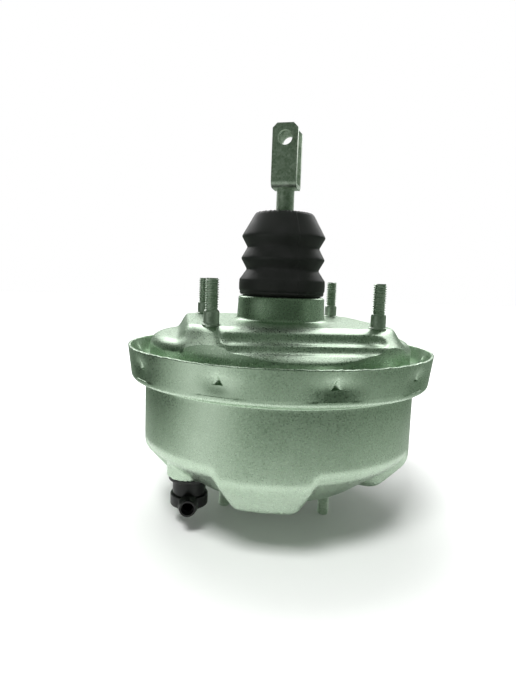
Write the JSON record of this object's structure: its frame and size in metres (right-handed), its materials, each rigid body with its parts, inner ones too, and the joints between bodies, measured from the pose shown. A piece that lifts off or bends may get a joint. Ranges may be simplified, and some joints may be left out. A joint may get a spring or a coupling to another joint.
{
  "type": "brake booster",
  "caption": "Round pressed steel vacuum brake booster with studs on both faces, ribbed rubber boot, push rod clevis and plastic check valve with a hose elbow.",
  "frame": {"origin": "centre of the firewall stud square on the mounting face", "axes": "+Z along the push rod towards the pedal; X and Y along the sides of the stud square"},
  "size_m": [0.2032, 0.2032, 0.2636],
  "materials": {
    "zinc_sheet": "satin zinc plate over pressed steel",
    "plated_studs": "zinc plated cold headed steel",
    "plated_rod": "mottled zinc plate on rod and strip",
    "inner_steel": "bare pressed or turned steel",
    "spring_steel": "oiled spring wire",
    "boot_rubber": "moulded black rubber, satin",
    "seal_rubber": "moulded black rubber",
    "diaphragm_rubber": "fabric backed black rubber",
    "piston_plastic": "glass filled phenolic moulding",
    "valve_plastic": "black nylon moulding",
    "filter_foam": "open cell foam",
    "felt": "pressed felt"
  },
  "bodies": {
    "housing": {"front_shell": "zinc_sheet", "rear_shell": "zinc_sheet", "firewall_studs": "plated_studs", "master_cylinder_studs": "plated_studs", "front_reinforcement_plate": "inner_steel", "front_seal": "seal_rubber", "front_seal_cup": "inner_steel", "rear_seal": "seal_rubber", "rear_guide_ring": "piston_plastic", "return_spring": "spring_steel", "diaphragm": "diaphragm_rubber", "boot": "boot_rubber", "check_valve_grommet": "seal_rubber"},
    "power_piston": {"valve_body": "piston_plastic", "diaphragm_plate": "inner_steel", "valve_key": "inner_steel", "poppet_valve": "seal_rubber", "poppet_spring": "spring_steel", "poppet_retainer": "inner_steel", "air_filter": "filter_foam", "air_silencer": "felt", "reaction_disc": "seal_rubber", "output_rod": "plated_rod", "output_rod_screw": "plated_rod", "output_rod_retainer": "inner_steel", "rod_return_spring": "spring_steel"},
    "air_valve": {"air_valve_plunger": "inner_steel"},
    "push_rod": {"input_rod": "plated_rod", "clevis": "plated_rod"},
    "check_valve": {"check_valve_body": "valve_plastic", "check_valve_elbow": "valve_plastic", "check_valve_spring": "spring_steel"},
    "check_disc": {"check_valve_disc": "seal_rubber"}
  },
  "joints": [
    {"name": "piston_stroke", "type": "slide", "parent": "housing", "child": "power_piston", "axis": [0, 0, -1], "range_m": [0, 0.03], "stiffness_N_per_m": 1500, "springref_m": -0.03, "deforming": ["return_spring", "diaphragm", "boot"]},
    {"name": "valve_travel", "type": "slide", "parent": "power_piston", "child": "air_valve", "axis": [0, 0, -1], "range_m": [0, 0.0015], "stiffness_N_per_m": 3000, "springref_m": -0.004, "deforming": ["rod_return_spring", "poppet_spring"]},
    {"name": "push_rod_tilt", "type": "hinge", "parent": "air_valve", "child": "push_rod", "pos_m": [0, 0, 0.0065], "axis": [-0.3746, -0.9272, 0], "range_deg": [-3, 3], "stiffness_Nm_per_rad": 2},
    {"name": "check_valve_swivel", "type": "hinge", "parent": "housing", "child": "check_valve", "pos_m": [-0.06037, -0.018, -0.11], "axis": [0, 0, 1], "range_deg": [-120, 20]},
    {"name": "check_disc_lift", "type": "slide", "parent": "check_valve", "child": "check_disc", "axis": [0, 0, -1], "range_m": [0, 0.002], "stiffness_N_per_m": 150, "springref_m": -0.002, "deforming": ["check_valve_spring"]}
  ]
}
